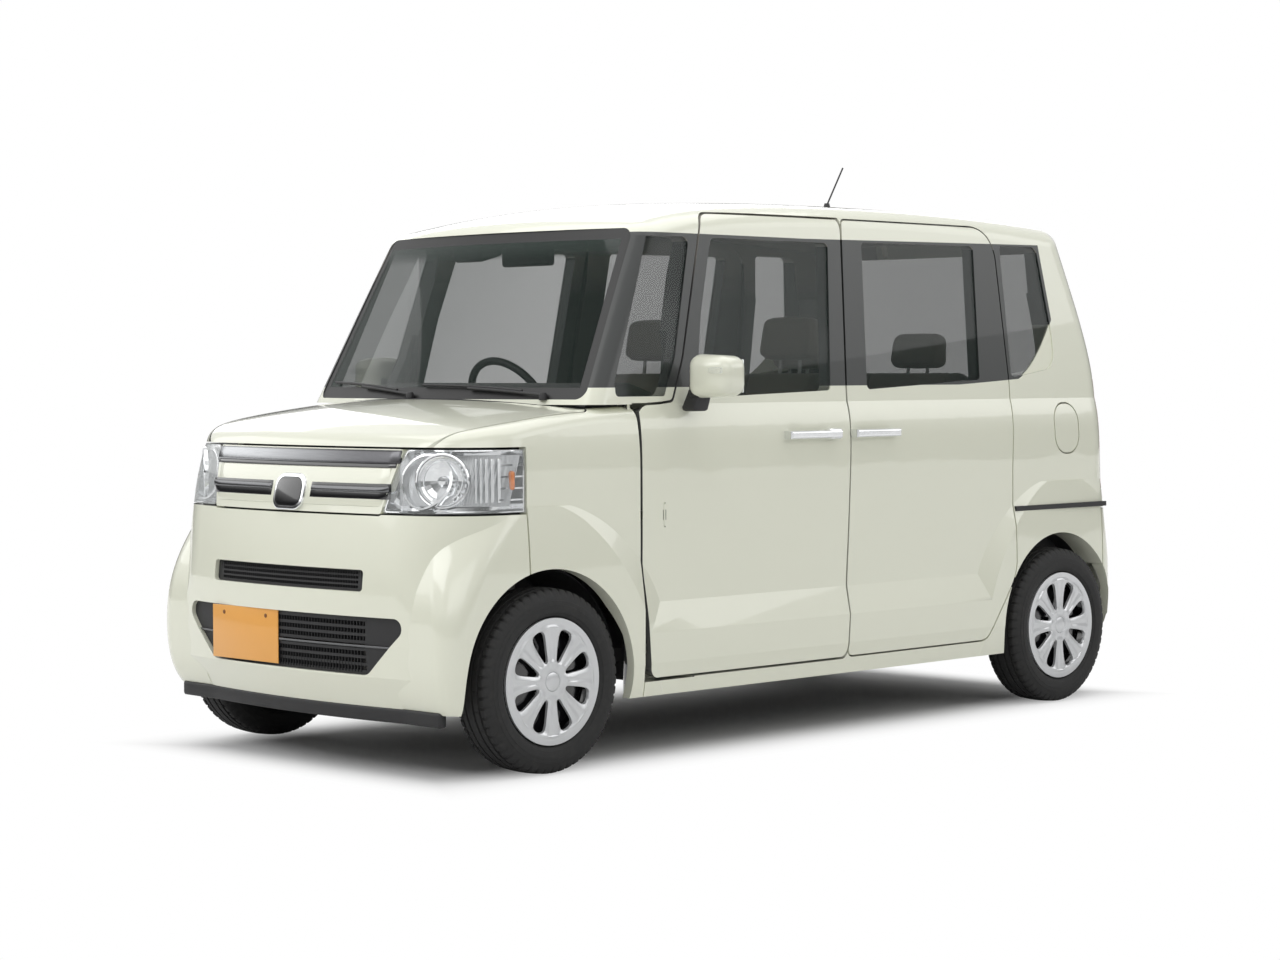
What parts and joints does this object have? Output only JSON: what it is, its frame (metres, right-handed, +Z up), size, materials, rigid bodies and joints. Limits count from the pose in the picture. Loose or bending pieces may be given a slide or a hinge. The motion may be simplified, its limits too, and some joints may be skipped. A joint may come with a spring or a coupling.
{
  "type": "small wagon car",
  "caption": "Tall boxy wagon car with hinged front doors, fixed sliding-type rear doors, opening bonnet, tailgate and filler lid, steered front wheels and a furnished cabin",
  "frame": {"origin": "on the ground under the middle of the car's overall length and width", "axes": "+X toward the nose, +Y to the car's left, +Z up"},
  "size_m": [3.3949, 1.805, 1.9466],
  "materials": {
    "body_paint": "gloss",
    "clear_glass": "polished",
    "dark_glass": "polished",
    "red_lens": "gloss",
    "lamp_lens": "polished",
    "bright_trim": "polished",
    "black_plastic": "matte",
    "dark_trim": "matte",
    "seat_fabric": "woven",
    "floor_metal": "satin",
    "engine_metal": "cast",
    "exhaust_steel": "satin",
    "knuckle_iron": "cast",
    "tyre_rubber": "matte",
    "wheel_silver": "satin",
    "plate_orange": "satin"
  },
  "bodies": {
    "car_body": {"side_body_left": "body_paint", "side_body_right": "body_paint", "sliding_door_left": "body_paint", "sliding_door_right": "body_paint", "roof_panel": "body_paint", "rear_bumper": "body_paint", "front_bumper": "body_paint", "grille_panel": "body_paint", "front_wings": "body_paint", "windscreen": "clear_glass", "sliding_door_glass": "dark_glass", "quarter_glass": "dark_glass", "tail_lamps": "red_lens", "headlamp_lenses": "lamp_lens", "headlamp_units": "bright_trim", "grille_trim": "bright_trim", "sliding_handles": "bright_trim", "front_lip": "black_plastic", "cowl_panel": "black_plastic", "wheelhouse_liners": "black_plastic", "intake_grilles": "black_plastic", "slide_rails": "black_plastic", "antenna": "black_plastic", "inner_mirror": "black_plastic", "dashboard": "dark_trim", "front_seats": "seat_fabric", "rear_seats": "seat_fabric", "floor_pan": "floor_metal", "front_structure": "floor_metal", "front_subframe": "floor_metal", "rear_axle_beam": "floor_metal", "fuel_tank": "floor_metal", "engine_block": "engine_metal", "exhaust": "exhaust_steel", "number_plate": "plate_orange"},
    "front_door_left": {"front_door_left": "body_paint", "front_door_glass_left": "clear_glass", "door_mirror_left": "body_paint", "front_handle_left": "bright_trim"},
    "front_door_right": {"front_door_right": "body_paint", "front_door_glass_right": "clear_glass", "door_mirror_right": "body_paint", "front_handle_right": "bright_trim"},
    "tailgate": {"tailgate": "body_paint", "tailgate_glass": "dark_glass"},
    "bonnet": {"bonnet": "body_paint"},
    "fuel_lid": {"fuel_lid": "body_paint"},
    "steering_wheel": {"steering_wheel": "dark_trim"},
    "knuckle_left": {"knuckle_left": "knuckle_iron"},
    "knuckle_right": {"knuckle_right": "knuckle_iron"},
    "wheel_front_left": {"tyre_front_left": "tyre_rubber", "wheel_front_left": "wheel_silver"},
    "wheel_front_right": {"tyre_front_right": "tyre_rubber", "wheel_front_right": "wheel_silver"},
    "wheel_rear_left": {"tyre_rear_left": "tyre_rubber", "wheel_rear_left": "wheel_silver"},
    "wheel_rear_right": {"tyre_rear_right": "tyre_rubber", "wheel_rear_right": "wheel_silver"}
  },
  "joints": [
    {"name": "front_door_left_hinge", "type": "hinge", "parent": "car_body", "child": "front_door_left", "pos_m": [0.7545, 0.711, 0.551], "axis": [0, 0, -1], "range_deg": [0, 65]},
    {"name": "front_door_right_hinge", "type": "hinge", "parent": "car_body", "child": "front_door_right", "pos_m": [0.7545, -0.711, 0.551], "axis": [0, 0, 1], "range_deg": [0, 65]},
    {"name": "bonnet_hinge", "type": "hinge", "parent": "car_body", "child": "bonnet", "pos_m": [1.0605, 0, 1.084], "axis": [0, -1, 0], "range_deg": [0, 45]},
    {"name": "tailgate_hinge", "type": "hinge", "parent": "car_body", "child": "tailgate", "pos_m": [-1.4605, 0, 1.726], "axis": [0, 1, 0], "range_deg": [0, 80]},
    {"name": "fuel_lid_hinge", "type": "hinge", "parent": "car_body", "child": "fuel_lid", "pos_m": [-1.281, 0.708, 0.989], "axis": [0, 0, -1], "range_deg": [0, 80]},
    {"name": "steer_left", "type": "hinge", "parent": "car_body", "child": "knuckle_left", "pos_m": [1.2405, 0.64, 0], "axis": [0, -0.2113, 0.9774], "range_deg": [-33, 33]},
    {"name": "steer_right", "type": "hinge", "parent": "car_body", "child": "knuckle_right", "pos_m": [1.2405, -0.64, 0], "axis": [0, 0.2113, 0.9774], "range_deg": [-33, 33]},
    {"name": "steering_wheel_turn", "type": "hinge", "parent": "car_body", "child": "steering_wheel", "pos_m": [0.4405, -0.33, 1.074], "axis": [-0.891, 0, 0.454], "range_deg": [-495, 495]},
    {"name": "front_left_spin", "type": "hinge", "parent": "knuckle_left", "child": "wheel_front_left", "pos_m": [1.2405, 0.6525, 0.2785], "axis": [0, 1, 0], "continuous": true},
    {"name": "front_right_spin", "type": "hinge", "parent": "knuckle_right", "child": "wheel_front_right", "pos_m": [1.2405, -0.6525, 0.2785], "axis": [0, 1, 0], "continuous": true},
    {"name": "rear_left_spin", "type": "hinge", "parent": "car_body", "child": "wheel_rear_left", "pos_m": [-1.2795, 0.6525, 0.2785], "axis": [0, 1, 0], "continuous": true},
    {"name": "rear_right_spin", "type": "hinge", "parent": "car_body", "child": "wheel_rear_right", "pos_m": [-1.2795, -0.6525, 0.2785], "axis": [0, 1, 0], "continuous": true}
  ],
  "couplings": [
    {"joint": "steer_right", "follows": "steer_left", "ratio": 1},
    {"joint": "steering_wheel_turn", "follows": "steer_left", "ratio": 15}
  ]
}
